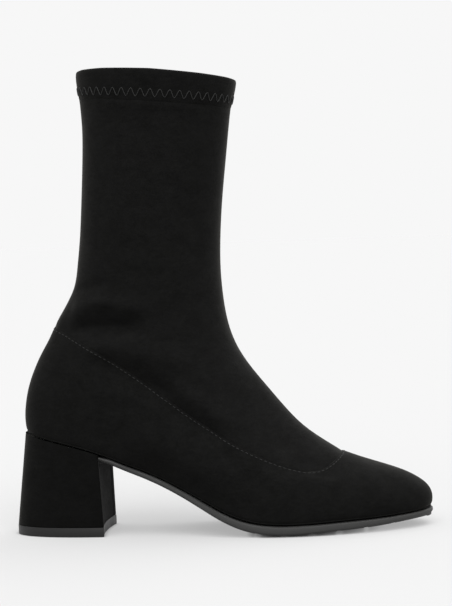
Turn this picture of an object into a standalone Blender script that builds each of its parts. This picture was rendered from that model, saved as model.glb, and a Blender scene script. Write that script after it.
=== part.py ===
"""Stretch ankle boot for the right foot: a suede sock upper on a covered block heel.

Metres, +Z up. X runs from the heel to the toe, the outer side of the foot faces -Y, and the boot stands
on the floor at Z = 0. Every wall comes from one function, boot_wall, which lays closed rings round the
last from the sole's edge up to the collar.
"""
import math

import bmesh
import bpy
import numpy as np

MM = 0.001

# Driving sizes, in metres
LENGTH = 244.0 * MM          # heel back to toe
GAP = 0.3 * MM               # seat between two pieces that touch
WALL = 1.6 * MM              # stretch suede with its backing
PANEL = 0.8 * MM             # foot panel sewn over the lower half of the upper
PANEL_PROUD = 0.4 * MM       # how far the panel's upper edge stands over the sock
CUFF = 0.8 * MM              # one leaf of the folded collar band
CUFF_CORE = 1.0 * MM         # the upper's thinned edge inside that fold
SOLE_LEDGE = 1.0 * MM        # the outsole shows this far outside the foot panel
SOLE_BEVEL = 0.6 * MM        # broken upper edge of the outsole
SOLE_TUCK = 1.0 * MM         # rounding of its lower edge
SOLE_CROWN = 1.3 * MM        # the tread hangs this far below the sole's edge
INSOLE = 2.5 * MM            # insole board with its sock
INSOLE_CLEAR = 0.4 * MM      # room between the insole and the upper
HEEL_PROUD = 0.8 * MM        # the heel's cover stands this far outside the upper
LIFT = 5.4 * MM              # rubber toplift under the heel
HEEL_BACK = 0.0 * MM         # heel's back at the toplift
HEEL_HALF_WIDTH = 25.6 * MM  # half width at the toplift
BREAST = 54.4 * MM           # front corners of the heel at the toplift
BREAST_SEAT = 52.8 * MM      # the same at the heel's seat, where its front leans back
BREAST_HOLLOW = 2.0 * MM     # the heel's front face curves in this far
HEEL_SQUARE = 2.3            # 2 rounds the toplift as an ellipse, more squares it
HEEL_ROUND = 21.0 * MM       # radius of the sole's edge at the heel, seen from above
TOE_ROUND = 17.0 * MM        # the same at the toe
TOE_SWING = 4.0 * MM         # the toe points this far to the inner side
SWING_FROM = 98.0 * MM       # the foot's centre line starts to swing here
SIDE_WALL = 4.7 * MM         # the foot's sides stand upright this far above the sole
RIDGE_FULL = 2.1             # 2 makes the forefoot's sections elliptical, more makes them fuller
SAG_REACH = 26.0 * MM        # length over which the seam evens out the sole's curve
RIDGE_WRAP = math.radians(42.0)  # share of a ring that climbs over the ridge of the foot
FOREFOOT_FROM = 0.35         # share of a ring's length where rounded sides turn into domed sections
FOREFOOT_OVER = 0.40         # share of its length over which they do
TREAD_FLAT = 0.8             # share of the sole's width that its flat tread takes
FOLD_ROUND = 0.6             # rounding of the cuff's fold, as a share of its leaf

# Mesh sizes
COLUMNS = 56                 # facets round the boot
SOLE_STATIONS = 34           # sections along the outsole
HEEL_STATIONS = 14           # sections along each side of the heel
HEEL_LEVELS = 3              # facets up its side
BREAST_FACETS = 8            # facets across the heel's front face and the sole
TURN_STEP = 0.03             # radians to each side over which a wall's direction is measured
HEIGHT_STEP = 0.01           # share of a ring over which it is measured upwards

# Edge of the sole, from the heel back along the foot: height of its upper face, and its thickness
SOLE_COLUMNS = ("x", "top", "edge")
SOLE_LINE = (
    (7.0, 59.6, 2.0),
    (20.0, 56.5, 2.0),
    (36.0, 52.8, 2.0),
    (50.0, 48.9, 2.0),
    (60.0, 45.0, 2.8),
    (70.0, 40.8, 3.2),
    (86.0, 34.2, 3.5),
    (102.0, 26.2, 4.0),
    (118.0, 17.0, 4.7),
    (134.0, 9.4, 5.0),
    (151.0, 6.4, 5.3),
    (167.0, 6.2, 5.3),
    (183.0, 6.9, 5.0),
    (199.0, 7.6, 4.8),
    (215.0, 8.1, 4.2),
    (232.0, 9.1, 3.5),
    (243.0, 9.9, 3.2),
)

# Half widths seen from above: the last's edge at the sole, and the fuller body of the upper over it
PLAN_COLUMNS = ("x", "sole_outer", "sole_inner", "body_outer", "body_inner")
PLAN = (
    (20.0, 21.0, 20.6, 21.6, 21.4),
    (40.0, 27.6, 26.8, 28.6, 28.2),
    (60.0, 29.3, 27.2, 30.4, 29.4),
    (85.0, 31.2, 26.3, 32.6, 30.0),
    (110.0, 35.2, 30.0, 36.0, 32.6),
    (135.0, 39.2, 35.8, 39.7, 36.8),
    (155.0, 40.8, 38.6, 41.3, 39.2),
    (175.0, 40.0, 38.8, 40.6, 39.4),
    (195.0, 36.3, 36.2, 37.0, 36.9),
    (213.0, 30.2, 30.6, 31.0, 31.4),
    (228.0, 21.8, 22.3, 22.8, 23.3),
)

# Rings of the upper from the sole's edge to the collar: where each crosses the back and the front of the
# boot, how far it sags with the sole, its share of the fuller body and of the round shaft, and the shaft's
# half width there. Whole numbers of "height on the wall" count these rows.
RING_COLUMNS = ("name", "back_x", "back_z", "front_x", "front_z", "sag", "body", "shaft", "half")
RINGS = (
    ("feather_edge", 7.0, 59.6, 242.8, 9.9, 1.00, 0.0, 0.00, 30.0),
    ("bulge", 6.0, 67.5, 244.1, 15.6, 1.00, 0.8, 0.00, 30.0),
    ("low", 6.8, 77.5, 241.2, 23.2, 1.00, 1.0, 0.00, 30.0),
    ("side", 9.8, 90.0, 229.0, 31.0, 1.00, 1.0, 0.05, 30.0),
    ("vamp", 17.0, 106.2, 211.0, 37.3, 1.03, 1.0, 0.15, 30.0),
    ("seam", 26.6, 121.3, 193.5, 43.8, 1.05, 1.0, 0.30, 30.0),
    ("instep", 32.7, 134.4, 172.0, 57.0, 0.85, 1.0, 0.50, 30.0),
    ("throat", 38.5, 146.0, 150.5, 81.9, 0.45, 1.0, 0.72, 30.0),
    ("ankle", 40.7, 159.5, 134.2, 103.5, 0.15, 1.0, 0.90, 30.0),
    ("bend", 42.4, 171.5, 126.6, 126.0, 0.00, 1.0, 1.00, 30.0),
    ("shaft_low", 43.8, 189.0, 124.3, 160.0, 0.00, 1.0, 1.00, 30.5),
    ("shaft_mid", 45.2, 209.5, 126.3, 189.5, 0.00, 1.0, 1.00, 31.0),
    ("shaft_high", 46.3, 231.5, 129.8, 216.0, 0.00, 1.0, 1.00, 31.5),
    ("nip", 45.2, 252.5, 133.3, 244.0, 0.00, 1.0, 1.00, 32.0),
    ("collar", 43.6, 270.2, 137.3, 261.2, 0.00, 1.0, 1.00, 34.0),
)
RING_NAMES = [row[0] for row in RINGS]
BULGE = RING_NAMES.index("bulge")
SEAM = RING_NAMES.index("seam")
BEND = RING_NAMES.index("bend")
COLLAR = RING_NAMES.index("collar")
SEAM_STEP = 0.03             # ring share that the upper keeps clear of the panel's upper edge
CUFF_EDGE = COLLAR - 0.9     # lower edge of the collar band
CUFF_ROUND = COLLAR - 0.05   # where its fold starts to turn over
CUFF_INSIDE = COLLAR - 0.065  # top of the upper's edge inside the fold
FOOT_ROWS = [SEAM * i / 10 for i in range(11)]
SHAFT_ROWS = [SEAM + 1 + i / 2 for i in range(9)] + [SEAM + 6.0, SEAM + 7.0, SEAM + 7.5]


# Curves through the tables

def column(rows, names, name):
    index = names.index(name)
    return np.array([row[index] for row in rows])


def curve(stations, values):
    """A smooth curve through the given points, with each slope taken from the neighbouring points."""
    stations = np.asarray(stations, float)
    values = np.asarray(values, float)
    slopes = np.gradient(values, stations)

    def at(place):
        place = np.clip(place, stations[0], stations[-1])
        i = np.clip(np.searchsorted(stations, place) - 1, 0, len(stations) - 2)
        span = stations[i + 1] - stations[i]
        t = (place - stations[i]) / span
        start = (2 * t - 3) * t * t * values[i] + values[i] + (t - 1) ** 2 * t * span * slopes[i]
        end = (3 - 2 * t) * t * t * values[i + 1] + (t - 1) * t * t * span * slopes[i + 1]
        return start + end

    return at


def smooth(t):
    t = np.clip(t, 0.0, 1.0)
    return t * t * (3.0 - 2.0 * t)


SOLE_X = column(SOLE_LINE, SOLE_COLUMNS, "x") * MM
sole_top = curve(SOLE_X, column(SOLE_LINE, SOLE_COLUMNS, "top") * MM)
sole_edge = curve(SOLE_X, column(SOLE_LINE, SOLE_COLUMNS, "edge") * MM)
RING_CURVES = {
    name: curve(range(len(RINGS)), column(RINGS, RING_COLUMNS, name).astype(float))
    for name in RING_COLUMNS[1:]
}


def ring(name, height):
    return float(RING_CURVES[name](height))


# The last

def plan_round(x):
    """1 at mid length, falling to 0 in a round arc at the tips of the bulge ring."""
    back = ring("back_x", BULGE) * MM
    share = np.clip((x - back) / (ring("front_x", BULGE) * MM - back), 0.0, 1.0)
    return 2.0 * np.sqrt(share * (1.0 - share))


def fullness(kind):
    """Half width at x before the rounding of heel and toe, for one of the plan table's outlines."""
    back, front = ring("back_x", BULGE) * MM, ring("front_x", BULGE) * MM
    stations = column(PLAN, PLAN_COLUMNS, "x") * MM
    widths = column(PLAN, PLAN_COLUMNS, kind) * MM / plan_round(stations)
    ends = [math.sqrt(radius * (front - back) / 2.0) for radius in (HEEL_ROUND, TOE_ROUND)]
    return curve([back, *stations, front], [ends[0], *widths, ends[1]])


FULLNESS = {kind: fullness(kind) for kind in PLAN_COLUMNS[1:]}
RIDGE = np.linspace(BEND, BULGE, 201)
RIDGE_X = RING_CURVES["front_x"](RIDGE) * MM
RIDGE_Z = RING_CURVES["front_z"](RIDGE) * MM


def ridge_rise(x, z):
    """0 where the foot's side wall stands upright, 1 on the ridge over the toes and instep."""
    wall_top = sole_top(x) + SIDE_WALL
    ridge = np.interp(x, RIDGE_X, RIDGE_Z)
    return np.clip((z - wall_top) / np.maximum(ridge - wall_top, MM), 0.0, 1.0)


def sole_sag(x):
    """How far the sole's edge lies below a straight line from the heel seat to the toe."""
    back_x, front_x = ring("back_x", 0) * MM, ring("front_x", 0) * MM
    back_z, front_z = ring("back_z", 0) * MM, ring("front_z", 0) * MM
    x = np.clip(x, back_x, front_x)
    return sole_top(x) - (back_z + (front_z - back_z) * (x - back_x) / (front_x - back_x))


def ring_sag(x, height):
    """The same for a ring of the upper, which follows the sole ever more softly up to the seam."""
    soft = (sole_sag(x - SAG_REACH) + sole_sag(x) + sole_sag(x + SAG_REACH)) / 3.0
    return sole_sag(x) + (soft - sole_sag(x)) * min(height / SEAM, 1.0)


def half_width(x, z, around, height, side):
    """Half width of the boot on one side: last sections over the foot, an oval in the shaft."""
    body, shaft = ring("body", height), ring("shaft", height)
    turn = np.abs(np.sin(around))
    share = (1.0 - np.cos(around)) / 2.0
    full = (1.0 - body) * FULLNESS["sole_" + side](x) + body * FULLNESS["body_" + side](x)
    rear = full * turn
    dome = np.sqrt(1.0 - ridge_rise(x, z) ** RIDGE_FULL)
    front = full * dome * (plan_round(x) if height > BULGE else turn)
    foot = rear + (front - rear) * smooth((share - FOREFOOT_FROM) / FOREFOOT_OVER)
    width = foot + (ring("half", height) * MM * turn - foot) * shaft
    return np.where(turn > 1e-6, width, 0.0)


def boot_surface(around, height):
    """Points of the boot's outside. around runs from the back over the outer side to the front."""
    around = np.asarray(around, float)
    share = (1.0 - np.cos(around)) / 2.0
    back_x, front_x = ring("back_x", height) * MM, ring("front_x", height) * MM
    back_z, front_z = ring("back_z", height) * MM, ring("front_z", height) * MM
    x = back_x + (front_x - back_x) * share
    from_ridge = np.abs(np.mod(around, 2.0 * math.pi) - math.pi)
    climb = 1.0 + (smooth(from_ridge / RIDGE_WRAP) - 1.0) * min(height, 1.0)
    z = back_z + (front_z - back_z) * share + ring("sag", height) * ring_sag(x, height) * climb
    outer = half_width(x, z, around, height, "outer")
    inner = half_width(x, z, around, height, "inner")
    swing = TOE_SWING * smooth((x - SWING_FROM) / (LENGTH - SWING_FROM)) * (1.0 - ring("shaft", height))
    y = swing + np.where(np.sin(around) > 0.0, -outer, inner)
    return np.stack((x, y, z), axis=-1)


def boot_wall(around, height, depth):
    """Points of the boot's wall at a depth below its outside, kept clear of the sole at the lowest ring."""
    low, high = max(height - HEIGHT_STEP, 0.0), min(height + HEIGHT_STEP, COLLAR)
    along = boot_surface(around + TURN_STEP, height) - boot_surface(around - TURN_STEP, height)
    up = boot_surface(around, high) - boot_surface(around, low)
    normal = np.cross(along, up)
    normal /= np.linalg.norm(normal, axis=-1, keepdims=True)
    points = boot_surface(around, height) - depth * normal
    if height == 0.0:
        points[:, 2] = sole_top(points[:, 0]) + GAP
    return points


def sole_outline(around, proud):
    """Points of the sole's edge seen from above, moved outwards by proud."""
    along = boot_surface(around + TURN_STEP, 0.0) - boot_surface(around - TURN_STEP, 0.0)
    out = np.stack((-along[:, 1], along[:, 0]), axis=-1)
    out /= -np.linalg.norm(out, axis=-1, keepdims=True)
    return boot_surface(around, 0.0)[:, :2] + proud * out


# Blender objects

def clear_scene():
    for item in list(bpy.data.objects):
        bpy.data.objects.remove(item, do_unlink=True)


def material(name, colour, roughness):
    finish = bpy.data.materials.new(name)
    finish.use_nodes = True
    shader = finish.node_tree.nodes["Principled BSDF"]
    shader.inputs["Base Color"].default_value = (*colour, 1.0)
    shader.inputs["Roughness"].default_value = roughness
    shader.inputs["Metallic"].default_value = 0.0
    finish.diffuse_color = (*colour, 1.0)
    return finish


def add_piece(name, shape, finish):
    """Make a named object of a bmesh, standing on the boot's own origin."""
    mesh = bpy.data.meshes.new(name)
    shape.to_mesh(mesh)
    shape.free()
    mesh.materials.append(finish)
    mesh.shade_smooth()
    mesh.set_sharp_from_angle(angle=math.radians(40.0))
    piece = bpy.data.objects.new(name, mesh)
    piece.parent = stand
    boot.objects.link(piece)
    return piece


def bridge(shape, row, next_row, closed):
    """Faces between two rows of points that run side by side."""
    last = len(row) if closed else len(row) - 1
    for i in range(last):
        j = (i + 1) % len(row)
        shape.faces.new((row[i], row[j], next_row[j], next_row[i]))


def ring_wall(name, section, finish):
    """A closed wall round the boot: section lists (height on the wall, depth) round its thickness."""
    around = np.arange(COLUMNS) * 2.0 * math.pi / COLUMNS
    shape = bmesh.new()
    rows = [
        [shape.verts.new(point) for point in boot_wall(around, height, depth)]
        for height, depth in section
    ]
    for row, next_row in zip(rows, rows[1:] + rows[:1]):
        bridge(shape, row, next_row, closed=True)
    return add_piece(name, shape, finish)


# Upper: one hollow sock from the sole's edge to the collar, thinned where the panel and the cuff lie on it

def make_upper():
    under_panel = PANEL + GAP
    under_cuff = CUFF + GAP
    outside = [(height, under_panel) for height in FOOT_ROWS]
    outside += [(SEAM + SEAM_STEP, under_panel), (SEAM + 2 * SEAM_STEP, PANEL_PROUD)]
    outside += [(height, max(0.0, PANEL_PROUD * (SEAM + 2 - height) / 2)) for height in SHAFT_ROWS]
    outside += [(CUFF_EDGE - 2 * SEAM_STEP, 0.0), (CUFF_EDGE - SEAM_STEP, under_cuff)]
    outside += [(CUFF_INSIDE, under_cuff)]
    inside = [(CUFF_INSIDE, under_cuff + CUFF_CORE), (CUFF_EDGE - SEAM_STEP, under_cuff + CUFF_CORE)]
    inside += [(height, WALL) for height in SHAFT_ROWS[:0:-1]]
    inside += [(height, under_panel + WALL) for height in (SHAFT_ROWS[0], *FOOT_ROWS[::-1])]
    finish = material("black_stretch_suede", (0.010, 0.010, 0.010), 0.85)
    return ring_wall("upper", outside + inside, finish)


# Foot panel: the vamp and counter in one piece, sewn over the sock and lasted to the sole

def make_foot_panel():
    section = [(height, 0.0) for height in FOOT_ROWS]
    section += [(height, PANEL) for height in reversed(FOOT_ROWS)]
    finish = material("black_suede", (0.011, 0.011, 0.010), 0.8)
    return ring_wall("foot_panel", section, finish)


# Cuff: a band folded over the collar, with one leaf outside and one inside

def make_cuff():
    inner_face = CUFF + GAP + CUFF_CORE + GAP
    depth = inner_face + CUFF
    section = [
        (CUFF_EDGE, 0.0),
        (CUFF_ROUND, 0.0),
        (COLLAR, FOLD_ROUND * CUFF),
        (COLLAR, depth - FOLD_ROUND * CUFF),
        (CUFF_ROUND, depth),
        (CUFF_EDGE, depth),
        (CUFF_EDGE, inner_face),
        (CUFF_INSIDE + SEAM_STEP / 2, inner_face),
        (CUFF_INSIDE + SEAM_STEP / 2, CUFF),
        (CUFF_EDGE, CUFF),
    ]
    finish = material("black_cuff", (0.008, 0.008, 0.008), 0.85)
    return ring_wall("cuff", section, finish)


# Insole: a board with its sock, lying on the sole inside the upper

def make_insole():
    inset = -(PANEL + GAP + WALL + INSOLE_CLEAR)
    half_turn = np.linspace(0.0, math.pi, COLUMNS // 2 + 1)
    inner_turns = half_turn[1:-1]
    outer_side = sole_outline(inner_turns, inset)
    inner_side = sole_outline(-inner_turns, inset)
    ends = sole_outline(half_turn[[0, -1]], inset)
    shape = bmesh.new()

    def loop(raise_by):
        points = [ends[0], *outer_side, ends[1], *inner_side[::-1]]
        return [shape.verts.new((x, y, sole_top(x) + raise_by)) for x, y in points]

    lower = loop(GAP)
    upper = loop(GAP + INSOLE)
    bridge(shape, lower, upper, closed=True)
    count = len(lower)
    for face in (lower, upper):
        shape.faces.new((face[0], face[1], face[-1]))
        for i in range(1, count // 2 - 1):
            shape.faces.new((face[i], face[i + 1], face[count - i - 1], face[count - i]))
        shape.faces.new((face[count // 2 - 1], face[count // 2], face[count // 2 + 1]))
    finish = material("black_sock_lining", (0.02, 0.02, 0.02), 0.6)
    bmesh.ops.recalc_face_normals(shape, faces=shape.faces)
    return add_piece("insole", shape, finish)


# Heel block and toplift

def breast_x(corners, y):
    """x of the heel's hollow front face between its two front corners."""
    (start_x, start_y), (end_x, end_y) = corners
    across = (y - start_y) / (end_y - start_y)
    return start_x + (end_x - start_x) * across - BREAST_HOLLOW * 4.0 * across * (1.0 - across)


def seat_turn():
    """Angle round the sole's edge at which the heel's front corners lie."""
    back_x, front_x = ring("back_x", 0) * MM, ring("front_x", 0) * MM
    return math.acos(1.0 - 2.0 * (BREAST_SEAT - back_x) / (front_x - back_x))


def heel_loop(share):
    """Heel outline seen from above, from the toplift (share 0) to the seat (share 1)."""
    turns = np.linspace(-1.0, 1.0, 2 * HEEL_STATIONS + 1)
    seat = sole_outline(-turns * seat_turn(), HEEL_PROUD)
    quarter = turns * math.pi / 2.0
    length = BREAST - HEEL_BACK
    foot_x = BREAST - length * np.abs(np.cos(quarter)) ** (2.0 / HEEL_SQUARE)
    foot_y = HEEL_HALF_WIDTH * np.sign(quarter) * np.abs(np.sin(quarter)) ** (2.0 / HEEL_SQUARE)
    side = np.stack((foot_x, foot_y), axis=-1) * (1.0 - share) + seat * share
    corners = side[-1], side[0]
    front_y = np.linspace(corners[0][1], corners[1][1], BREAST_FACETS + 1)[1:-1]
    return np.concatenate((side, np.stack((breast_x(corners, front_y), front_y), axis=-1)))


def ladder(shape, loop):
    """Close a heel loop with strips across it, so that a sloping seat stays true."""
    side_count = 2 * HEEL_STATIONS + 1
    for i in range(HEEL_STATIONS - 1):
        j = side_count - 1 - i
        if i == 0:
            shape.faces.new((loop[0], loop[1], loop[j - 1], loop[j], *loop[side_count:]))
        else:
            shape.faces.new((loop[i], loop[i + 1], loop[j - 1], loop[j]))
    shape.faces.new((loop[HEEL_STATIONS - 1], loop[HEEL_STATIONS], loop[HEEL_STATIONS + 1]))


def make_heel():
    shape = bmesh.new()
    rows = []
    foot_z = LIFT + GAP
    seat_z = sole_top(heel_loop(1.0)[:, 0])
    for level in range(HEEL_LEVELS + 1):
        share = level / HEEL_LEVELS
        heights = foot_z + (seat_z - foot_z) * share
        rows.append([shape.verts.new((x, y, z)) for (x, y), z in zip(heel_loop(share), heights)])
    for row, next_row in zip(rows, rows[1:]):
        bridge(shape, row, next_row, closed=True)
    ladder(shape, rows[0])
    ladder(shape, rows[-1])
    finish = material("black_suede_heel", (0.009, 0.009, 0.009), 0.85)
    bmesh.ops.recalc_face_normals(shape, faces=shape.faces)
    return add_piece("heel", shape, finish)


def make_toplift():
    shape = bmesh.new()
    rows = [
        [shape.verts.new((x, y, height)) for x, y in heel_loop(0.0)]
        for height in (0.0, LIFT)
    ]
    bridge(shape, rows[0], rows[1], closed=True)
    shape.faces.new(rows[0])
    shape.faces.new(rows[1])
    finish = material("dark_rubber", (0.035, 0.035, 0.034), 0.6)
    bmesh.ops.recalc_face_normals(shape, faces=shape.faces)
    return add_piece("toplift", shape, finish)


# Outsole: from the heel's front face to the toe, thin in the waist, flat under the ball, sprung at the toe

def make_outsole():
    turns = np.linspace(seat_turn(), math.pi - TURN_STEP, SOLE_STATIONS)
    shares = np.linspace(-1.0, 1.0, BREAST_FACETS + 1)
    shape = bmesh.new()

    def station(turn):
        """Closed section of the sole, as rows (x, y, z) from the outer top edge round under the sole."""
        edge = {}
        for side, angle in (("outer", turn), ("inner", -turn)):
            for name, proud in (("top", SOLE_LEDGE - SOLE_BEVEL), ("side", SOLE_LEDGE),
                                ("tuck", SOLE_LEDGE - SOLE_TUCK)):
                edge[side, name] = sole_outline(np.array([angle]), proud)[0]
        thick = float(sole_edge(edge["outer", "side"][0]))

        def place(point, drop):
            x = min(point[0], LENGTH)
            return [point[0], point[1], float(sole_top(x)) - drop]

        outer = [
            place(edge["outer", "top"], 0.0),
            place(edge["outer", "side"], SOLE_BEVEL),
            place(edge["outer", "side"], thick - SOLE_TUCK),
            place(edge["outer", "tuck"], thick),
        ]
        inner = [
            place(edge["inner", "tuck"], thick),
            place(edge["inner", "side"], thick - SOLE_TUCK),
            place(edge["inner", "side"], SOLE_BEVEL),
            place(edge["inner", "top"], 0.0),
        ]
        start, end = np.array(outer[-1]), np.array(inner[0])
        tread = []
        for share in shares:
            point = (start + end) / 2.0 + (end - start) / 2.0 * share * TREAD_FLAT
            point[2] = max(0.0, float(sole_top(min(point[0], LENGTH))) - thick - SOLE_CROWN)
            tread.append(list(point))
        head = []
        for share in shares[1:-1][::-1]:
            first, last = np.array(outer[0]), np.array(inner[-1])
            head.append(list((first + last) / 2.0 + (last - first) / 2.0 * share))
        return outer + tread + inner + head

    sections = [station(turn) for turn in turns]
    seat = heel_loop(1.0)
    corners = seat[2 * HEEL_STATIONS], seat[0]
    for point in sections[0]:
        point[0] = breast_x(corners, point[1]) + GAP
    rows = [[shape.verts.new(point) for point in section] for section in sections]
    for row, next_row in zip(rows, rows[1:]):
        bridge(shape, row, next_row, closed=True)
    shape.faces.new(rows[0])
    shape.faces.new(rows[-1])
    finish = material("grey_rubber", (0.05, 0.05, 0.048), 0.65)
    bmesh.ops.recalc_face_normals(shape, faces=shape.faces)
    return add_piece("outsole", shape, finish)


clear_scene()
boot = bpy.data.collections.new("stretch_ankle_boot")
bpy.context.scene.collection.children.link(boot)
stand = bpy.data.objects.new("stand", None)
stand.location = (-LENGTH / 2.0, 0.0, 0.0)
boot.objects.link(stand)

make_upper()
make_foot_panel()
make_cuff()
make_insole()
make_heel()
make_toplift()
make_outsole()
bpy.context.view_layer.update()
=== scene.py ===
"""Looks of the stretch ankle boot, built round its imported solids.

Metres, +Z up. The toe points to +X, the outer side of the foot faces -Y, and the boot stands at Z = 0.
"""
import math

import bmesh
import bpy
import numpy as np
from mathutils import Matrix, Vector
from mathutils.bvhtree import BVHTree
from mathutils.kdtree import KDTree


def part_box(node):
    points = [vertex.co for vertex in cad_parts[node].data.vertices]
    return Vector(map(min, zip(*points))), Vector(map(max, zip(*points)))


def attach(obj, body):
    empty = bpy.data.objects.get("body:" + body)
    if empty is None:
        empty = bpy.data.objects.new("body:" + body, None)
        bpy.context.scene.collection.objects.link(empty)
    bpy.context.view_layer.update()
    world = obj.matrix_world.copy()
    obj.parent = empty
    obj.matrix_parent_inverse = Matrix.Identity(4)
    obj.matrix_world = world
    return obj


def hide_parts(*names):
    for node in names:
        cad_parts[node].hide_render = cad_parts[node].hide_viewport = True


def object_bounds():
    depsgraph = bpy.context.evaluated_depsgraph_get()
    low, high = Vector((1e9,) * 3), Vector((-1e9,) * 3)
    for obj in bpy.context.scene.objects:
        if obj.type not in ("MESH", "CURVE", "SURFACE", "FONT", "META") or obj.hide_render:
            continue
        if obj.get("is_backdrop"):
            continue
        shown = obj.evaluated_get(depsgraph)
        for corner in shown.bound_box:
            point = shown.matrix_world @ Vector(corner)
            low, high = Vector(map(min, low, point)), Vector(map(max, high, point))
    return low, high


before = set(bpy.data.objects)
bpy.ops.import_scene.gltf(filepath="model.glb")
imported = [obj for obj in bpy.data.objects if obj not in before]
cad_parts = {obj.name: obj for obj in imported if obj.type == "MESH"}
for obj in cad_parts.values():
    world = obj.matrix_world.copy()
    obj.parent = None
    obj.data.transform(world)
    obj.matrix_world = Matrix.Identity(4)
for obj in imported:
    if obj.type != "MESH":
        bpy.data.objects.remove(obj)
cad_low, cad_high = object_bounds()


# Sock upper: black microsuede bonded to a stretch knit, sewn into one tube and pulled over the last.
# Nothing stiffens it above the foot panel, so the empty ankle stands in shallow folds.

MM = 0.001
# Points closer than this are one point, and edges that bend more than this are cut edges.
MERGE = 0.01 * MM
CUT_EDGE = math.radians(50.0)
heel_back = cad_low.x


def cloth_of(node):
    """A copy of a solid's wall, merged, with its triangles paired into four-sided faces."""
    wall = bmesh.new()
    wall.from_mesh(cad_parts[node].data)
    bmesh.ops.remove_doubles(wall, verts=wall.verts, dist=MERGE)
    bmesh.ops.join_triangles(wall, faces=wall.faces, angle_face_threshold=math.pi,
                             angle_shape_threshold=math.pi, topology_influence=2.0)
    return wall


def placed(name, data):
    """An object of the data, put into the scene."""
    item = bpy.data.objects.new(name, data)
    bpy.context.scene.collection.objects.link(item)
    return item


def refined(name, wall, levels, crisp):
    """An object of the wall, rounded by subdivision. Its cut edges are kept crisp by the given share."""
    crease = wall.edges.layers.float.new("crease_edge")
    for edge in wall.edges:
        if edge.calc_face_angle(0.0) > CUT_EDGE:
            edge[crease] = crisp
    mesh = bpy.data.meshes.new(name)
    wall.to_mesh(mesh)
    wall.free()
    piece = placed(name, mesh)
    rounding = piece.modifiers.new("rounding", "SUBSURF")
    rounding.levels = levels
    rounding.render_levels = levels
    seen = piece.evaluated_get(bpy.context.evaluated_depsgraph_get())
    piece.data = bpy.data.meshes.new_from_object(seen)
    piece.data.name = name
    piece.modifiers.clear()
    piece.data.shade_smooth()
    return piece


# The folds of the ankle, and the swell and the hollow of the waist. Each has its side of the boot, how far
# the cloth stands out along it or is pressed in, its width, and its line, in millimetres from the heel's
# back and from the floor. On the back the line is measured from the middle towards the inner side.
FOLDS = (
    ("outer", 2.4, 4.8, ((36, 130), (41, 132), (48, 134), (57, 135.5), (65, 136.5))),
    ("outer", 1.4, 3.6, ((48, 136), (56, 135.3), (66, 134), (77, 131.5), (85, 129))),
    ("outer", -4.8, 4.8, ((35, 120), (43, 120.5), (52, 121), (62, 121.5), (74, 122), (84, 122))),
    ("outer", -1.6, 6.0, ((38, 116), (45, 115.5), (56, 115), (66, 116), (77, 119), (90, 122))),
    ("outer", -0.9, 2.6, ((38, 141.5), (42, 142.8), (48, 144), (59, 146), (66, 147))),
    ("outer", 1.9, 6.0, ((38, 110), (52, 110.5), (66, 109.5), (82, 106), (99, 101), (113, 96))),
    ("outer", -4.6, 6.6, ((46, 105.5), (60, 99), (74, 92.5), (85, 86.5), (96, 80.5), (106, 75))),
    ("outer", 2.0, 5.5, ((92, 89), (103, 83), (112, 77.5), (121, 71.5), (130, 65), (138, 59.5))),
    ("outer", -3.5, 4.8, ((89, 80), (97, 74.5), (106, 68), (118, 60), (128, 53.5))),
    ("outer", 2.6, 10.0, ((66, 66), (84, 57), (98, 50), (112, 41), (124, 32), (136, 23))),
    ("outer", -3.0, 9.0, ((64, 46), (80, 38.5), (94, 32), (108, 25), (120, 18), (128, 14))),
    ("back", 1.7, 9.0, ((-16, 120), (-6, 122.5), (6, 122.5), (16, 120))),
    ("inner", 2.0, 6.5, ((125, 128.5), (108, 122), (90, 112), (74, 105))),
    ("inner", -2.2, 6.0, ((128, 116), (110, 108), (92, 99), (76, 95))),
    ("inner", 1.6, 5.0, ((38, 132), (54, 135), (76, 131))),
    ("inner", -2.0, 5.0, ((38, 123.5), (54, 124), (76, 119))),
    ("inner", -1.0, 4.0, ((39, 143), (52, 146), (70, 151))),
)
# The share of its length over which a fold rises at each end.
FOLD_FADE = 0.25
SIDES = {
    "outer": Vector((0.0, -1.0, 0.0)),
    "inner": Vector((0.0, 1.0, 0.0)),
    "back": Vector((-1.0, 0.0, 0.0)),
}
sock_tree = BVHTree.FromObject(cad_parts["upper"], bpy.context.evaluated_depsgraph_get())


def from_line(points, start, end):
    """How far along a straight line each point lies, from 0 to 1, and the way to it from the line."""
    along = end - start
    share = np.clip((points - start) @ along / (along @ along), 0.0, 1.0)
    return share, points - start - share[:, None] * along


def fold_line(side, places):
    """Points of a fold on the sock, found from outside on its side of the boot."""
    points = []
    for along, z in places:
        spot = Vector((heel_back + along * MM, 0.0, z * MM))
        if side == "back":
            spot = Vector((0.0, along * MM, z * MM))
        points.append(sock_tree.ray_cast(spot + SIDES[side], -SIDES[side])[0])
    return np.array(points)


def fold_push(side, stand, width, places, points):
    """How one fold moves each of the points out to its side. It fades out towards both of its ends."""
    line = fold_line(side, places)
    steps = np.linalg.norm(line[1:] - line[:-1], axis=1)
    nearest = np.full(len(points), np.inf)
    reach = np.zeros(len(points))
    for i, step in enumerate(steps):
        share, way = from_line(points, line[i], line[i + 1])
        away = np.linalg.norm(way, axis=1)
        closer = away < nearest
        nearest[closer] = away[closer]
        reach[closer] = (steps[:i].sum() + share * step)[closer] / steps.sum()
    fade = np.clip(np.minimum(reach, 1.0 - reach) / FOLD_FADE, 0.0, 1.0)
    soft = fade ** 2 * (3.0 - 2.0 * fade)
    push = stand * MM * soft * np.exp(-(nearest / (width * MM)) ** 2)
    return push[:, None] * np.array(SIDES[side])


def folded(points):
    """Where points of the smooth boot lie once the folds are in it."""
    moved = points.copy()
    for side, stand, width, places in FOLDS:
        moved += fold_push(side, stand, width, places, points)
    return moved


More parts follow.
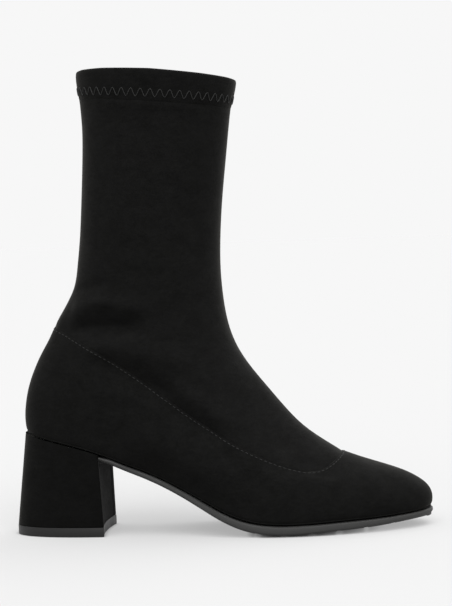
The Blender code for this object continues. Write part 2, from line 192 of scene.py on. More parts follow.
def fold_cloth(piece):
    """Lay the folds into a piece. All its layers move together, so that it keeps its thickness."""
    points = np.empty(len(piece.data.vertices) * 3)
    piece.data.vertices.foreach_get("co", points)
    piece.data.vertices.foreach_set("co", folded(points.reshape(-1, 3)).ravel())
    piece.data.update()


# The collar's edge from back to front, in millimetres: it slopes down, is drawn up at the sides of the leg
# and rolls off at the back and the front. What it is moved by fades out over a band below the edge.
COLLAR_SHARE = (0.0, 0.06, 0.2, 0.5, 0.8, 0.95, 1.0)
COLLAR_RISE = (-1.2, -0.3, 0.7, 1.6, 1.0, 0.4, -0.1)
COLLAR_SLOPE = 8.6 * MM
COLLAR_BAND = 16.0 * MM
# Down from that edge, the hem is puffed all round. Below it, its stitches draw the boot's flat sides in.
HEM_DOWN = (-1.0, 1.2, 3.2, 6.2, 9.2, 12.2, 15.2, 17.2, 19.2, 22.2, 25.2, 30.2, 56.0)
HEM_OUT = (0.0, 0.12, 0.42, 0.6, 0.58, 0.48, 0.32, 0.14, -0.14, -0.52, -0.78, -0.9, 0.0)
leg_middle = heel_back + 90.0 * MM


def from_leg(point):
    """The level direction out of the leg at a point."""
    return Vector((point.x - leg_middle, point.y, 0.0)).normalized()


def shape_collar(piece):
    """Puff the hem, draw it in below, and lift or lower its edge."""
    cuff_low, cuff_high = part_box("cuff")
    for vert in piece.data.vertices:
        share = (vert.co.x - cuff_low[0]) / (cuff_high[0] - cuff_low[0])
        down = cuff_high[2] - COLLAR_SLOPE * share - vert.co.z
        if down < HEM_DOWN[-1] * MM:
            way = from_leg(vert.co)
            out = np.interp(down / MM, HEM_DOWN, HEM_OUT) * MM
            vert.co += way * (out if out > 0.0 else out * way.y ** 2)
            fade = min(1.0, max(0.0, 1.0 - down / COLLAR_BAND))
            vert.co.z += np.interp(share, COLLAR_SHARE, COLLAR_RISE) * MM * fade
    piece.data.update()


# The middle of the leg and foot inside the boot, which tells the cloth's inner side from its outer side.
# The lines run in millimetres from the heel's back and from the floor.
LEG_AND_FOOT = (
    ((90, 275), (84, 170)),
    ((84, 170), (80, 120)),
    ((80, 120), (40, 85)),
    ((80, 120), (120, 60)),
    ((120, 60), (165, 25)),
    ((165, 25), (230, 20)),
)


def line_inside(piece):
    """Give the cloth's inner side the second material of its piece."""
    count = len(piece.data.polygons)
    centres, facing = np.empty(count * 3), np.empty(count * 3)
    piece.data.polygons.foreach_get("center", centres)
    piece.data.polygons.foreach_get("normal", facing)
    centres, facing = centres.reshape(-1, 3), facing.reshape(-1, 3)
    nearest = np.full(count, np.inf)
    outward = np.zeros_like(centres)
    for ends in LEG_AND_FOOT:
        start, end = [np.array((heel_back + along * MM, 0.0, z * MM)) for along, z in ends]
        _, way = from_line(centres, start, end)
        away = np.linalg.norm(way, axis=1)
        closer = away < nearest
        nearest[closer] = away[closer]
        outward[closer] = way[closer]
    inner = (outward * facing).sum(axis=1) < 0.0
    piece.data.polygons.foreach_set("material_index", inner.astype(np.int32))


sock = refined("sock_upper", cloth_of("upper"), levels=2, crisp=0.7)
fold_cloth(sock)
shape_collar(sock)


def effect_group(name, inputs):
    """A shader group with the given inputs. It gives a colour, a roughness and a height for bumps."""
    group = bpy.data.node_groups.new(name, "ShaderNodeTree")
    for socket, kind, start in inputs:
        group.interface.new_socket(socket, in_out="INPUT", socket_type=kind).default_value = start
    for socket, kind in (("Colour", "NodeSocketColor"), ("Roughness", "NodeSocketFloat"),
                         ("Height", "NodeSocketFloat")):
        group.interface.new_socket(socket, in_out="OUTPUT", socket_type=kind)
    return group, group.nodes.new("NodeGroupInput"), group.nodes.new("NodeGroupOutput")


def noise_of(tree, size, detail, roughness, flat):
    """Noise with grains of the size that a socket gives, flattened in height."""
    place = tree.nodes.new("ShaderNodeTexCoord")
    stretch = tree.nodes.new("ShaderNodeMapping")
    stretch.inputs["Scale"].default_value = (1.0, 1.0, flat)
    scale = tree.nodes.new("ShaderNodeMath")
    scale.operation = "DIVIDE"
    scale.inputs[0].default_value = 1.0
    noise = tree.nodes.new("ShaderNodeTexNoise")
    noise.inputs["Detail"].default_value = detail
    noise.inputs["Roughness"].default_value = roughness
    tree.links.new(place.outputs["Object"], stretch.inputs["Vector"])
    tree.links.new(stretch.outputs["Vector"], noise.inputs["Vector"])
    tree.links.new(size, scale.inputs[1])
    tree.links.new(scale.outputs[0], noise.inputs["Scale"])
    return noise.outputs["Fac"]


def plus_share(tree, first, second, share):
    """first plus a share of second, for two grey values."""
    node = tree.nodes.new("ShaderNodeMath")
    node.operation = "MULTIPLY_ADD"
    tree.links.new(second, node.inputs[0])
    node.inputs[1].default_value = share
    tree.links.new(first, node.inputs[2])
    return node.outputs[0]


def ranged(tree, value, start, end, low, high):
    """A grey value that goes from low to high while another goes from start to end."""
    node = tree.nodes.new("ShaderNodeMapRange")
    node.inputs["From Min"].default_value = start
    node.inputs["From Max"].default_value = end
    node.inputs["To Min"].default_value = low
    node.inputs["To Max"].default_value = high
    tree.links.new(value, node.inputs["Value"])
    return node.outputs["Result"]


def mixed(tree, share, dark, light):
    """A colour between two, by a share from 0 to 1. Each of the two is a fixed colour or a socket."""
    tone = tree.nodes.new("ShaderNodeMix")
    tone.data_type = "RGBA"
    tree.links.new(share, tone.inputs["Factor"])
    for name, colour in (("A", dark), ("B", light)):
        if isinstance(colour, tuple):
            tone.inputs[name].default_value = (*colour, 1.0)
        else:
            tree.links.new(colour, tone.inputs[name])
    return tone.outputs["Result"]


def new_finish(name):
    """A material, its node tree and its main shader."""
    finish = bpy.data.materials.new(name)
    finish.use_nodes = True
    return finish, finish.node_tree, finish.node_tree.nodes["Principled BSDF"]


def raise_bumps(tree, height, strength, depth):
    """Bumps on a material's main shader, from a grey height."""
    bump = tree.nodes.new("ShaderNodeBump")
    bump.inputs["Strength"].default_value = strength
    bump.inputs["Distance"].default_value = depth
    tree.links.new(height, bump.inputs["Height"])
    tree.links.new(bump.outputs["Normal"], tree.nodes["Principled BSDF"].inputs["Normal"])


def effect_finish(name, group, settings, strength, depth):
    """A material with the colour, roughness and bumps of an effect group, and its main shader."""
    finish, tree, shader = new_finish(name)
    effect = tree.nodes.new("ShaderNodeGroup")
    effect.node_tree = group
    for socket, value in settings.items():
        effect.inputs[socket].default_value = value
    tree.links.new(effect.outputs["Colour"], shader.inputs["Base Color"])
    tree.links.new(effect.outputs["Roughness"], shader.inputs["Roughness"])
    raise_bumps(tree, effect.outputs["Height"], strength, depth)
    return finish, shader


def nap_group():
    """Brushed nap: clouds where it lies another way, level brush strokes and single fibres."""
    group, given, result = effect_group("brushed_nap", (
        ("Dark", "NodeSocketColor", (0.004, 0.004, 0.004, 1.0)),
        ("Light", "NodeSocketColor", (0.008, 0.008, 0.008, 1.0)),
        ("Cloud Size", "NodeSocketFloat", 10.0 * MM),
        ("Stroke Size", "NodeSocketFloat", 4.0 * MM),
        ("Fibre Size", "NodeSocketFloat", 1.1 * MM),
    ))
    clouds = noise_of(group, given.outputs["Cloud Size"], detail=3.0, roughness=0.6, flat=1.2)
    strokes = noise_of(group, given.outputs["Stroke Size"], detail=4.0, roughness=0.6, flat=2.2)
    fibres = noise_of(group, given.outputs["Fibre Size"], detail=2.0, roughness=0.6, flat=1.3)
    lie = plus_share(group, plus_share(group, clouds, strokes, share=1.0), fibres, share=1.0)
    light_share = ranged(group, lie, start=1.1, end=1.9, low=0.0, high=1.0)
    tone = mixed(group, light_share, given.outputs["Dark"], given.outputs["Light"])
    rough = ranged(group, light_share, start=0.0, end=1.0, low=0.95, high=0.75)
    height = plus_share(group, fibres, strokes, share=1.5)
    group.links.new(tone, result.inputs["Colour"])
    group.links.new(rough, result.inputs["Roughness"])
    group.links.new(height, result.inputs["Height"])
    return group


brushed_nap = nap_group()


def suede(name, dark, light, sheen):
    """Black suede between two tones: almost no gloss, with a soft shine where the nap is seen edge on."""
    settings = {"Dark": (*dark, 1.0), "Light": (*light, 1.0)}
    finish, shader = effect_finish(name, brushed_nap, settings, strength=0.5, depth=0.12 * MM)
    shader.inputs["Specular IOR Level"].default_value = 0.06
    shader.inputs["Sheen Weight"].default_value = sheen
    shader.inputs["Sheen Roughness"].default_value = 0.35
    shader.inputs["Sheen Tint"].default_value = (0.95, 0.93, 0.86, 1.0)
    return finish


sock.data.materials.clear()
sock_dark, sock_light = (0.0042, 0.0042, 0.0040), (0.0068, 0.0068, 0.0065)
knit_dark, knit_light = (0.007, 0.007, 0.007), (0.016, 0.016, 0.0155)
sock.data.materials.append(suede("black_stretch_suede", sock_dark, sock_light, sheen=0.115))
sock.data.materials.append(suede("black_knit_backing", knit_dark, knit_light, sheen=0.05))
line_inside(sock)
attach(sock, "root")
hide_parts("upper")


# Foot panel: vamp and counter cut in one from the same suede on a firmer backing, laid over the sock, sewn
# on along its upper edge and lasted smooth to the sole.

RIM_STEP = 0.15 * MM
# How far into the cloth from its edge the skin is flat enough to tell which way it faces.
SKIN_PROBE = 1.5 * MM


def rims(wall):
    """The cut edges round a wall, lowest first: their corners in order, and the ways into the cloth."""
    sharp = {edge.index: edge for edge in wall.edges if edge.calc_face_angle(0.0) > CUT_EDGE}
    found = []
    while sharp:
        edge = sharp.pop(min(sharp))
        corner = edge.verts[1]
        points, inward = [], []
        while edge is not None:
            skin = max(edge.link_faces, key=lambda face: face.calc_area())
            points.append(corner.co.copy())
            inward.append(skin.calc_center_median() - (edge.verts[0].co + edge.verts[1].co) / 2.0)
            edge = next((other for other in corner.link_edges if other.index in sharp), None)
            if edge is not None:
                del sharp[edge.index]
                corner = edge.other_vert(corner)
        found.append((np.array(points), np.array(inward)))
    return sorted(found, key=lambda rim: rim[0][:, 2].mean())


def rim_length(rim):
    """The way round a rim."""
    return np.linalg.norm(np.roll(rim[0], -1, axis=0) - rim[0], axis=1).sum()


def doubled(row):
    """A closed row of points or ways, made twice as many and rounded as subdivision rounds the cloth."""
    before, after = np.roll(row, 1, axis=0), np.roll(row, -1, axis=0)
    return np.stack(((before + 6.0 * row + after) / 8.0, (row + after) / 2.0), axis=1).reshape(-1, 3)


def along_rim(rim, count):
    """Points at equal steps round a rim, rounded like the cloth, and the way into the cloth at each."""
    points, inward = [doubled(doubled(row)) for row in rim]
    steps = np.linalg.norm(np.roll(points, -1, axis=0) - points, axis=1)
    reach = np.concatenate(([0.0], np.cumsum(steps)))
    places = np.arange(count) * reach[-1] / count
    rows = []
    for row in (points, inward):
        closed = np.concatenate((row, row[:1]))
        rows.append(np.stack([np.interp(places, reach, closed[:, axis]) for axis in range(3)], axis=1))
    points, inward = rows
    run = np.roll(points, -1, axis=0) - np.roll(points, 1, axis=0)
    run /= np.linalg.norm(run, axis=1)[:, None]
    inward = inward - run * (inward * run).sum(axis=1)[:, None]
    return points, inward / np.linalg.norm(inward, axis=1)[:, None]


def skin_of(piece):
    """The faces of a piece, to find the nearest of them."""
    return BVHTree.FromObject(piece, bpy.context.evaluated_depsgraph_get())


def press_edge(piece, rim, sink, slide, reach):
    """Press the cloth down near a cut edge, as the seam holds it, and draw it a little past its place."""
    skin = skin_of(piece)
    points, inward = along_rim(rim, round(rim_length(rim) / RIM_STEP))
    near = KDTree(len(points))
    for i, point in enumerate(points):
        near.insert(point, i)
    near.balance()
    moves = []
    for vert in piece.data.vertices:
        _, i, away = near.find(vert.co)
        if away < reach:
            out = skin.find_nearest(Vector(points[i] + SKIN_PROBE * inward[i]))[1]
            moves.append((vert, (out * sink + Vector(inward[i]) * slide) * (1.0 - away / reach) ** 2))
    for vert, move in moves:
        vert.co -= move
    piece.data.update()


# Along each of its edges the panel has a rim on its outer and on its inner face. The outer one is longer.
panel_wall = cloth_of("foot_panel")
panel_rims = rims(panel_wall)
panel_top = max(panel_rims[-2:], key=rim_length)
panel_low = max(panel_rims[:2], key=rim_length)
panel = refined("foot_panel_suede", panel_wall, levels=2, crisp=0.6)
press_edge(panel, panel_top, sink=0.15 * MM, slide=1.3 * MM, reach=8.0 * MM)
press_edge(panel, panel_low, sink=0.6 * MM, slide=-0.8 * MM, reach=3.0 * MM)
fold_cloth(panel)
panel.data.materials.clear()
panel_dark, panel_light = (0.0037, 0.0037, 0.0035), (0.0060, 0.0060, 0.0057)
panel.data.materials.append(suede("black_panel_suede", panel_dark, panel_light, sheen=0.088))
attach(panel, "root")
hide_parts("foot_panel")


# Seam thread: one row of black polyester lockstitch that holds the panel's upper edge down on the sock.
# Each stitch lies on the suede and dips into a needle hole at both ends.

SEAM_PITCH = 2.9 * MM
SEAM_STITCH = 2.0 * MM
SEAM_THREAD = 0.5 * MM
SEAM_MARGIN = 0.1 * MM
SEAM_LIFT = 0.05 * MM
PLY_SIZE = 0.25 * MM
PLY_DARK = 0.6

panel_skin = skin_of(panel)
stitch_count = round(rim_length(panel_top) / SEAM_PITCH)
edge_points, into = along_rim(panel_top, 2 * stitch_count)
seam = [panel_skin.find_nearest(Vector(point))[:2] for point in folded(edge_points + SEAM_MARGIN * into)]
stitches = bmesh.new()
for i in range(0, 2 * stitch_count, 2):
    middle, out = seam[i]
    ahead = (seam[i + 1][0] - seam[i - 1][0]).normalized()
    across = out.cross(ahead).normalized()
    turn = Matrix((across * SEAM_THREAD / 2, out * SEAM_THREAD / 2, ahead * SEAM_STITCH / 2)).transposed()
    bmesh.ops.create_uvsphere(stitches, u_segments=8, v_segments=6, radius=1.0,
                              matrix=Matrix.Translation(middle + out * SEAM_LIFT) @ turn.to_4x4())
seam_mesh = bpy.data.meshes.new("seam_stitches")
stitches.to_mesh(seam_mesh)
stitches.free()
seam_mesh.shade_smooth()
seam_thread = placed("seam_stitches", seam_mesh)


def thread_finish(name, colour):
    """Spun thread: a soft gloss, broken by its plies."""
    finish, tree, shader = new_finish(name)
    place = tree.nodes.new("ShaderNodeTexCoord")
    plies = tree.nodes.new("ShaderNodeTexNoise")
    plies.inputs["Scale"].default_value = 1.0 / PLY_SIZE
    tree.links.new(place.outputs["Object"], plies.inputs["Vector"])
    dark = tuple(PLY_DARK * part for part in colour)
    tone = mixed(tree, plies.outputs["Fac"], dark, colour)
    tree.links.new(tone, shader.inputs["Base Color"])
    raise_bumps(tree, plies.outputs["Fac"], strength=0.6, depth=0.08 * MM)
    shader.inputs["Roughness"].default_value = 0.55
    shader.inputs["Specular IOR Level"].default_value = 0.3
    return finish


seam_mesh.materials.append(thread_finish("black_seam_thread", (0.015, 0.015, 0.0145)))
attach(seam_thread, "root")


# Cuff: a band of the suede folded over the collar and sewn down. It is puffed between the fold and the
# stitches, and its cut edge lies flat on the sock just below them.

CUFF_ROWS = 7
# Edges taller than this run from the cuff's lower edge to its fold.
CUFF_TALL = 8.0 * MM

band = cloth_of("cuff")
# Its lower four rims are the cut edges outside and inside the collar. The outer face's is the longest.
cuff_edge = max(rims(band)[:4], key=rim_length)
tall = [edge for edge in band.edges if abs(edge.verts[0].co.z - edge.verts[1].co.z) > CUFF_TALL]
bmesh.ops.subdivide_edges(band, edges=tall, cuts=CUFF_ROWS, use_grid_fill=True)
cuff = refined("cuff_suede_band", band, levels=2, crisp=0.0)
press_edge(cuff, cuff_edge, sink=-0.08 * MM, slide=2.2 * MM, reach=6.0 * MM)
shape_collar(cuff)
cuff.data.materials.clear()
cuff_dark, cuff_light = (0.0041, 0.0041, 0.0039), (0.0065, 0.0065, 0.0062)
cuff.data.materials.append(suede("black_cuff_suede", cuff_dark, cuff_light, sheen=0.11))
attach(cuff, "root")
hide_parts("cuff")


# Cuff thread: one closed row of zigzag in grey polyester thread, a stitch that stretches with the collar.
# It goes through the cuff and the sock a little above the cuff's cut edge.

ZIGZAGS = 45
ZIGZAG_MIDDLE = 3.1 * MM
ZIGZAG_SWING = 2.3 * MM
ZIGZAG_THREAD = 0.52 * MM
ZIGZAG_POINTS = 8
# The thread lies on the cuff and dips close to its turns. It is looked for from outside the puffed cuff.
ZIGZAG_LIFT = 0.18 * MM
ZIGZAG_DIP = 0.12 * MM
ZIGZAG_DIP_POWER = 6
ZIGZAG_OUTSIDE = 2.0 * MM

cuff_skin = skin_of(cuff)
edge_points, into = along_rim(cuff_edge, ZIGZAGS * ZIGZAG_POINTS)
zigzag_curve = bpy.data.curves.new("zigzag_thread", "CURVE")
zigzag_curve.dimensions = "3D"
zigzag_curve.bevel_depth = ZIGZAG_THREAD / 2.0
zigzag_curve.bevel_resolution = 1
spline = zigzag_curve.splines.new("POLY")
spline.points.add(len(edge_points) - 1)
spline.use_cyclic_u = True
for i in range(len(edge_points)):
    swing = math.sin(2.0 * math.pi * i / ZIGZAG_POINTS)
    height = ZIGZAG_MIDDLE + ZIGZAG_SWING * swing
    spot = Vector(edge_points[i] + height * into[i])
    spot += from_leg(spot) * ZIGZAG_OUTSIDE
    point, out = cuff_skin.find_nearest(spot)[:2]
    lift = ZIGZAG_LIFT - ZIGZAG_DIP * swing ** ZIGZAG_DIP_POWER
    spline.points[i].co = (*(point + out * lift), 1.0)
zigzag_line = placed("zigzag_line", zigzag_curve)
zigzag_mesh = bpy.data.meshes.new_from_object(
    zigzag_line.evaluated_get(bpy.context.evaluated_depsgraph_get()))
bpy.data.objects.remove(zigzag_line)
zigzag_mesh.shade_smooth()
zigzag_mesh.materials.clear()
zigzag_mesh.materials.append(thread_finish("grey_cuff_thread", (0.017, 0.017, 0.0165)))
zigzag = placed("zigzag_stitches", zigzag_mesh)
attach(zigzag, "root")


# Insole: a fibre board under a woven textile sock with a little foam, cut to the last.
# It is glued inside on the turned-in edge of the upper.

WEAVE_PITCH = 0.9 * MM
# A wave texture at scale 1 turns through this many radians to a metre.
WAVE_RATE = 20.0

insole = refined("insole_sock", cloth_of("insole"), levels=2, crisp=0.35)
fold_cloth(insole)


def woven_finish(name, dark, light):
    """Plain weave: threads that pass over and under each other."""
    finish, tree, shader = new_finish(name)
    place = tree.nodes.new("ShaderNodeTexCoord")
    over = tree.nodes.new("ShaderNodeMath")
    over.operation = "MAXIMUM"
    for i, direction in enumerate(("X", "Y")):
        wave = tree.nodes.new("ShaderNodeTexWave")
        wave.bands_direction = direction
        wave.inputs["Scale"].default_value = 2.0 * math.pi / (WAVE_RATE * WEAVE_PITCH)
        wave.inputs["Distortion"].default_value = 0.4
        wave.inputs["Detail Scale"].default_value = 3.0
        tree.links.new(place.outputs["Object"], wave.inputs["Vector"])
        tree.links.new(wave.outputs["Fac"], over.inputs[i])
    tone = mixed(tree, over.outputs[0], dark, light)
    tree.links.new(tone, shader.inputs["Base Color"])
    raise_bumps(tree, over.outputs[0], strength=0.7, depth=0.15 * MM)
    shader.inputs["Roughness"].default_value = 0.8
    shader.inputs["Specular IOR Level"].default_value = 0.2
    return finish


insole.data.materials.clear()
weave_dark, weave_light = (0.010, 0.010, 0.010), (0.030, 0.030, 0.029)
insole.data.materials.append(woven_finish("black_sock_weave", weave_dark, weave_light))
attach(insole, "root")
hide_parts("insole")


# Outsole: a thin moulded rubber sole glued under the lasted upper. Its edge stands out as a narrow ledge,
# it is pared thinner where it runs up to the heel, and shallow grooves cross the tread under the forefoot.

GROOVE_PITCH = 15.4 * MM
GROOVE_WIDTH = 2.2 * MM
GROOVE_DEPTH = 0.9 * MM
GROOVE_WALL = 0.15 * MM
GROOVE_FROM = 143.4 * MM
GROOVE_COUNT = 6
# The share of its thickness that the sole loses at its start, and the length over which it does. Points
# this near to each other along the sole have the same bottom.
SKIVE = 0.37
SKIVE_LENGTH = 9.0 * MM
SKIVE_STEP = 1.0 * MM
# How far down the normals of the underside point, with and without its rounded edge.
UNDERSIDE = -0.6
FLAT_UNDERSIDE = -0.9
# Edges that bend more than this stay sharp in the shading.
SOLE_SHARP = math.radians(25.0)


def slice_faces(shape, faces, point, across):
    """Cut some of a shape's faces along a plane."""
    edges = [edge for face in faces for edge in face.edges]
    verts = [vert for face in faces for vert in face.verts]
    bmesh.ops.bisect_plane(shape, geom=list(dict.fromkeys(faces + edges + verts)), plane_co=point,
                           plane_no=across)


tread = refined("outsole_rubber", cloth_of("outsole"), levels=2, crisp=1.0)
fold_cloth(tread)
sole_shape = bmesh.new()
sole_shape.from_mesh(tread.data)
sole_start = min(vert.co.x for vert in sole_shape.verts)
skived = [vert for vert in sole_shape.verts if vert.co.x < sole_start + SKIVE_LENGTH]
bottoms = []
for vert in skived:
    bottoms.append(min(other.co.z for other in skived if abs(other.co.x - vert.co.x) < SKIVE_STEP))
for vert, bottom in zip(skived, bottoms):
    thin = SKIVE * (1.0 - (vert.co.x - sole_start) / SKIVE_LENGTH)
    vert.co.z = bottom + (vert.co.z - bottom) * (1.0 - thin)
for groove in range(GROOVE_COUNT):
    centre = heel_back + GROOVE_FROM + groove * GROOVE_PITCH
    for edge_x in (centre - GROOVE_WIDTH / 2.0, centre + GROOVE_WIDTH / 2.0):
        under = [face for face in sole_shape.faces if face.normal.z < UNDERSIDE]
        slice_faces(sole_shape, under, (edge_x, 0.0, 0.0), (1.0, 0.0, 0.0))
    groove_floor = [face for face in sole_shape.faces if face.normal.z < FLAT_UNDERSIDE
                    and abs(face.calc_center_median().x - centre) < GROOVE_WIDTH / 2.0]
    bmesh.ops.inset_region(sole_shape, faces=groove_floor, thickness=GROOVE_WALL, depth=-GROOVE_DEPTH)
sole_shape.to_mesh(tread.data)
sole_shape.free()
tread.data.shade_smooth()
tread.data.set_sharp_from_angle(angle=SOLE_SHARP)


def rubber_group():
    """Moulded rubber: a fine matt grain with paler dusty patches."""
    group, given, result = effect_group("moulded_rubber", (
        ("Dark", "NodeSocketColor", (0.03, 0.03, 0.03, 1.0)),
        ("Light", "NodeSocketColor", (0.05, 0.05, 0.05, 1.0)),
        ("Smoothest", "NodeSocketFloat", 0.5),
        ("Grain Size", "NodeSocketFloat", 0.6 * MM),
        ("Patch Size", "NodeSocketFloat", 20.0 * MM),
    ))
    grain = noise_of(group, given.outputs["Grain Size"], detail=2.0, roughness=0.5, flat=1.0)
    patches = noise_of(group, given.outputs["Patch Size"], detail=4.0, roughness=0.5, flat=1.0)
    dusty = ranged(group, patches, start=0.3, end=0.7, low=0.0, high=1.0)
    tone = mixed(group, dusty, given.outputs["Dark"], given.outputs["Light"])
    rough = plus_share(group, given.outputs["Smoothest"], dusty, share=0.25)
    group.links.new(tone, result.inputs["Colour"])
    group.links.new(rough, result.inputs["Roughness"])
    group.links.new(grain, result.inputs["Height"])
    return group


moulded_rubber = rubber_group()


def rubber(name, dark, light, grain, smoothest, gloss):
    """Grey rubber between two tones, with the size of its grain, its least roughness and its gloss."""
    settings = {"Dark": (*dark, 1.0), "Light": (*light, 1.0), "Grain Size": grain, "Smoothest": smoothest}
    finish, shader = effect_finish(name, moulded_rubber, settings, strength=0.4, depth=0.1 * MM)
    shader.inputs["Specular IOR Level"].default_value = gloss
    return finish


tread.data.materials.clear()
sole_dark, sole_light = (0.029, 0.029, 0.0285), (0.038, 0.038, 0.037)
tread.data.materials.append(rubber("grey_sole_rubber", sole_dark, sole_light, grain=0.6 * MM,
                                   smoothest=0.5, gloss=0.35))
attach(tread, "root")
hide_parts("outsole")


# Heel: a moulded block with the same suede drawn round it, turned in at the front corners and pressed flat
# on the front face. It is nailed to the heel seat.

HEEL_CORNER = 1.0 * MM
HEEL_RIM = 0.3 * MM
# Edges of a block that bend more than this are rounded, and those that still bend more than the second
# angle stay sharp in the shading.
BLOCK_EDGE = math.radians(40.0)
HEEL_SHARP = math.radians(35.0)
# Edges that climb more than this are upright. Points below the foot are round the heel's lower rim, and
# points above the head are round its seat.
UPRIGHT = 4.0 * MM
HEEL_FOOT = 10.0 * MM
HEEL_HEAD = 40.0 * MM
# How far the suede is turned in on the front, and the step from it down to the pressed middle.
TURN_IN = 5.5 * MM
TURN_STEP = 0.3 * MM
TURN_DEPTH = 0.12 * MM
# The cover's edge stands round the sunk seat.
SEAT_LIP = 0.15 * MM
SEAT_SUNK = 1.2 * MM
# How far the normals of the front and of the seat point to the front and up.
FACES_FRONT = 0.6
FACES_UP = 0.8

block = cloth_of("heel")
turn_lines = []
for side in (-1.0, 1.0):
    feet = [vert.co.copy() for vert in block.verts if vert.co.z < HEEL_FOOT]
    heads = [vert.co.copy() for vert in block.verts if vert.co.z > HEEL_HEAD]
    low, high = [max(row, key=lambda co: co.x + side * co.y) for row in (feet, heads)]
    across = Vector((0.0, side * (high.z - low.z), -side * (high.y - low.y))).normalized()
    turn_lines.append((low - TURN_IN * across, across))
heel = refined("heel_suede_cover", block, levels=1, crisp=1.0)
cover = bmesh.new()
cover.from_mesh(heel.data)
for rounding, upright in ((HEEL_CORNER, True), (HEEL_RIM, False)):
    corners = [edge for edge in cover.edges if edge.calc_face_angle(0.0) > BLOCK_EDGE
               and upright == (abs(edge.verts[0].co.z - edge.verts[1].co.z) > UPRIGHT)
               and (upright or edge.verts[0].co.z < HEEL_FOOT)]
    bmesh.ops.bevel(cover, geom=corners, offset=rounding, offset_type="OFFSET", segments=3, profile=0.5,
                    affect="EDGES", clamp_overlap=True, material=-1)
bmesh.ops.remove_doubles(cover, verts=cover.verts, dist=MERGE)
for point, across in turn_lines:
    slice_faces(cover, [face for face in cover.faces if face.normal.x > FACES_FRONT], point, across)
breast = [face for face in cover.faces if face.normal.x > FACES_FRONT
          and all((face.calc_center_median() - point).dot(across) < 0.0 for point, across in turn_lines)]
bmesh.ops.inset_region(cover, faces=breast, thickness=TURN_STEP, depth=-TURN_DEPTH, use_even_offset=True)
seat = [face for face in cover.faces if face.normal.z > FACES_UP]
bmesh.ops.inset_region(cover, faces=seat, thickness=SEAT_LIP, depth=-SEAT_SUNK, use_even_offset=True)
cover.to_mesh(heel.data)
cover.free()
heel.data.shade_smooth()
heel.data.set_sharp_from_angle(angle=HEEL_SHARP)
heel.data.materials.clear()
heel_dark, heel_light = (0.0031, 0.0031, 0.0029), (0.0045, 0.0045, 0.0043)
heel.data.materials.append(suede("black_heel_suede", heel_dark, heel_light, sheen=0.09))
heel.data.materials.append(suede("black_pressed_suede", heel_dark, heel_light, sheen=0.008))
for face in heel.data.polygons:
    face.material_index = int(face.normal.x > FACES_FRONT)
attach(heel, "root")
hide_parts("heel")


# Toplift: the wear plate under the heel, stamped from harder rubber and nailed on.
# Its edges are just broken.

LIFT_EDGE = 0.4 * MM

plate = cloth_of("toplift")
corners = [edge for edge in plate.edges if edge.calc_face_angle(0.0) > BLOCK_EDGE]
bmesh.ops.bevel(plate, geom=corners, offset=LIFT_EDGE, offset_type="OFFSET", segments=2, profile=0.5,
                affect="EDGES", clamp_overlap=True, material=-1)
toplift_mesh = bpy.data.meshes.new("toplift_plate")
plate.to_mesh(toplift_mesh)
plate.free()
toplift_mesh.shade_smooth()
toplift_mesh.set_sharp_from_angle(angle=BLOCK_EDGE)
toplift_mesh.materials.clear()
lift_dark, lift_light = (0.0045, 0.0045, 0.0043), (0.007, 0.007, 0.0068)
toplift_mesh.materials.append(rubber("dark_toplift_rubber", lift_dark, lift_light, grain=0.4 * MM,
                                     smoothest=0.36, gloss=0.38))
toplift = placed("toplift_plate", toplift_mesh)
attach(toplift, "root")
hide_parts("toplift")


# Floor and light: a pale light table, a white surround that darkens below the horizon, a wide soft lamp
# above the camera and a weaker one from behind the toe. They are set so that the table is as bright as the
# surround and only shows the boot's shadow.

SURROUND = 0.93
SURROUND_BELOW = 0.18
# The surround darkens between these heights on the unit sphere.
FADE_FROM = -0.25
FADE_TO = -0.02
FLOOR_COLOUR = 0.36
FLOOR_GLOW = 0.37
FLOOR_RADIUS = 40.0
# The table's glow is dimmed where the boot comes this near, which paints a contact shadow under it.
CONTACT_SHADE_REACH = 2.7 * MM
# Each lamp's share of the light on the floor, its lean from straight above and the side it leans to.
LAMPS = (
    ("front_softbox", 0.76, 40.0, 8.0),
    ("toe_softbox", 0.24, 50.0, 140.0),
)
LAMP_WIDTH = math.radians(60.0)
lamp_light = (SURROUND - FLOOR_GLOW) / FLOOR_COLOUR - SURROUND

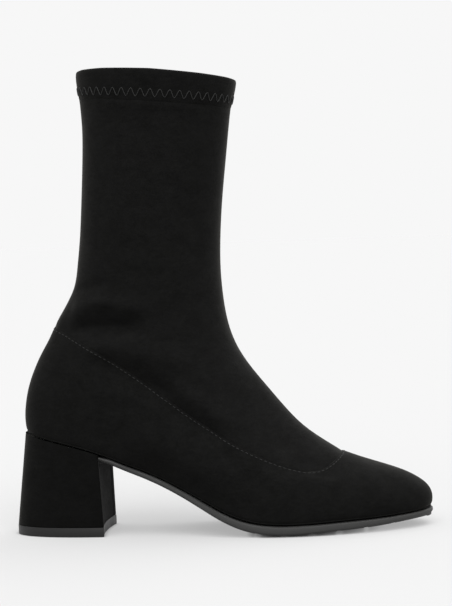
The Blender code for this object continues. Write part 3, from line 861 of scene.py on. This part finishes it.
floor_shape = bmesh.new()
bmesh.ops.create_circle(floor_shape, cap_ends=True, segments=96, radius=FLOOR_RADIUS)
floor_mesh = bpy.data.meshes.new("studio_floor")
floor_shape.to_mesh(floor_mesh)
floor_shape.free()
floor = placed("studio_floor", floor_mesh)
paper, paper_tree, paper_shader = new_finish("pale_paper")
# Painted contact shadow: the table's glow is darkened by occlusion wherever the boot is near.
contact_shade = paper_tree.nodes.new("ShaderNodeAmbientOcclusion")
contact_shade.inputs["Distance"].default_value = CONTACT_SHADE_REACH
contact_shade.inputs["Color"].default_value = (FLOOR_GLOW, FLOOR_GLOW, FLOOR_GLOW, 1.0)
paper_tree.links.new(contact_shade.outputs["Color"], paper_shader.inputs["Emission Color"])
paper_shader.inputs["Emission Strength"].default_value = 1.0
paper_shader.inputs["Base Color"].default_value = (FLOOR_COLOUR, FLOOR_COLOUR, FLOOR_COLOUR, 1.0)
paper_shader.inputs["Roughness"].default_value = 1.0
paper_shader.inputs["Specular IOR Level"].default_value = 0.0
floor_mesh.materials.append(paper)
floor.visible_diffuse = False
floor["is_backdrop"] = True

world = bpy.data.worlds.new("white_studio")
world.use_nodes = True
sky = world.node_tree
direction = sky.nodes.new("ShaderNodeTexCoord")
rise = sky.nodes.new("ShaderNodeSeparateXYZ")
sky.links.new(direction.outputs["Generated"], rise.inputs["Vector"])
glow = ranged(sky, rise.outputs["Z"], start=FADE_FROM, end=FADE_TO, low=SURROUND_BELOW, high=SURROUND)
sky.links.new(glow, sky.nodes["Background"].inputs["Color"])
bpy.context.scene.world = world
bpy.context.scene.view_settings.view_transform = "Standard"

for name, share, lean, side in LAMPS:
    lamp_data = bpy.data.lights.new(name, "SUN")
    lamp_data.angle = LAMP_WIDTH
    lamp_data.energy = share * math.pi * lamp_light / math.cos(math.radians(lean))
    lamp = placed(name, lamp_data)
    lamp.rotation_euler = (math.radians(lean), 0.0, math.radians(side))


# Camera: a good metre from the outer side, at the height of the ankle's bend and a little to the front of
# the boot, rolled slightly as the photograph is.

eye = Vector((98.8 * MM, -1095.8 * MM, 172.0 * MM))
middle = Vector((5.0 * MM, 0.4 * MM, 131.9 * MM))
roll = math.radians(1.9)
camera_data = bpy.data.cameras.new("camera")
camera_data.lens = 112.0
camera_data.sensor_width = 36.0
camera_data.clip_start = 0.05
camera = placed("camera", camera_data)
aim = (middle - eye).to_track_quat("-Z", "Y").to_matrix().to_4x4()
camera.matrix_world = Matrix.Translation(eye) @ aim @ Matrix.Rotation(-roll, 4, "Z")
bpy.context.scene.camera = camera

low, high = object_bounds()
